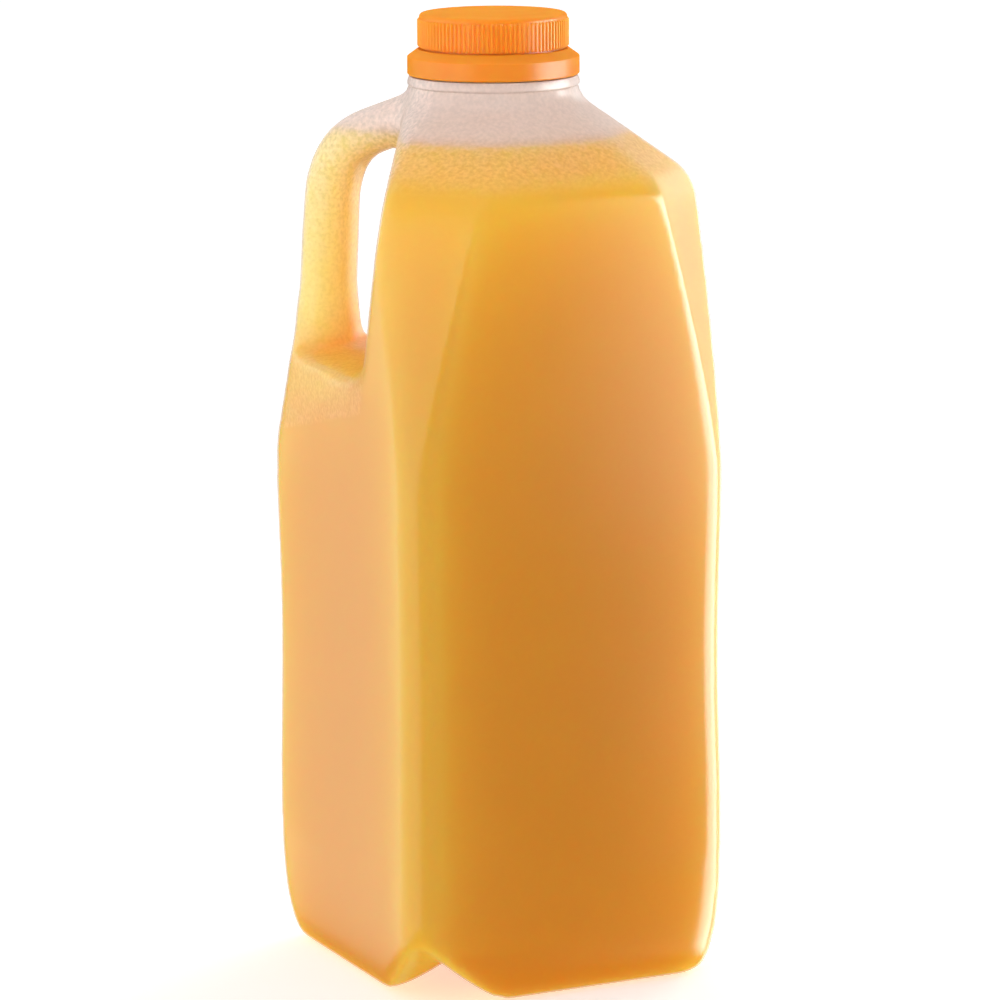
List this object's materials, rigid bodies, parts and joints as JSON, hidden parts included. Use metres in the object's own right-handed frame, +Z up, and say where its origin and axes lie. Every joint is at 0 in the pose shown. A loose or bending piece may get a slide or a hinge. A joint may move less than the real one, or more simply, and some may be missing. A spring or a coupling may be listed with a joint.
{
  "type": "plastic juice bottle",
  "caption": "Square blow moulded plastic jug with a hollow corner handle and cut shoulder corners, filled with orange juice and shut by a ribbed orange screw cap.",
  "frame": {"origin": "on the floor under the axis of the neck, which is the middle of the square base", "axes": "+Z up along the neck, -X towards the handle corner, mirror plane y = 0"},
  "size_m": [0.1298, 0.1298, 0.2655],
  "materials": {
    "natural_polyethylene": "satin translucent, grained on handle and shoulder",
    "orange_juice": "cloudy liquid",
    "orange_cap": "satin moulded"
  },
  "bodies": {
    "root": {"bottle": "natural_polyethylene", "juice": "orange_juice", "cap": "orange_cap"}
  },
  "joints": []
}
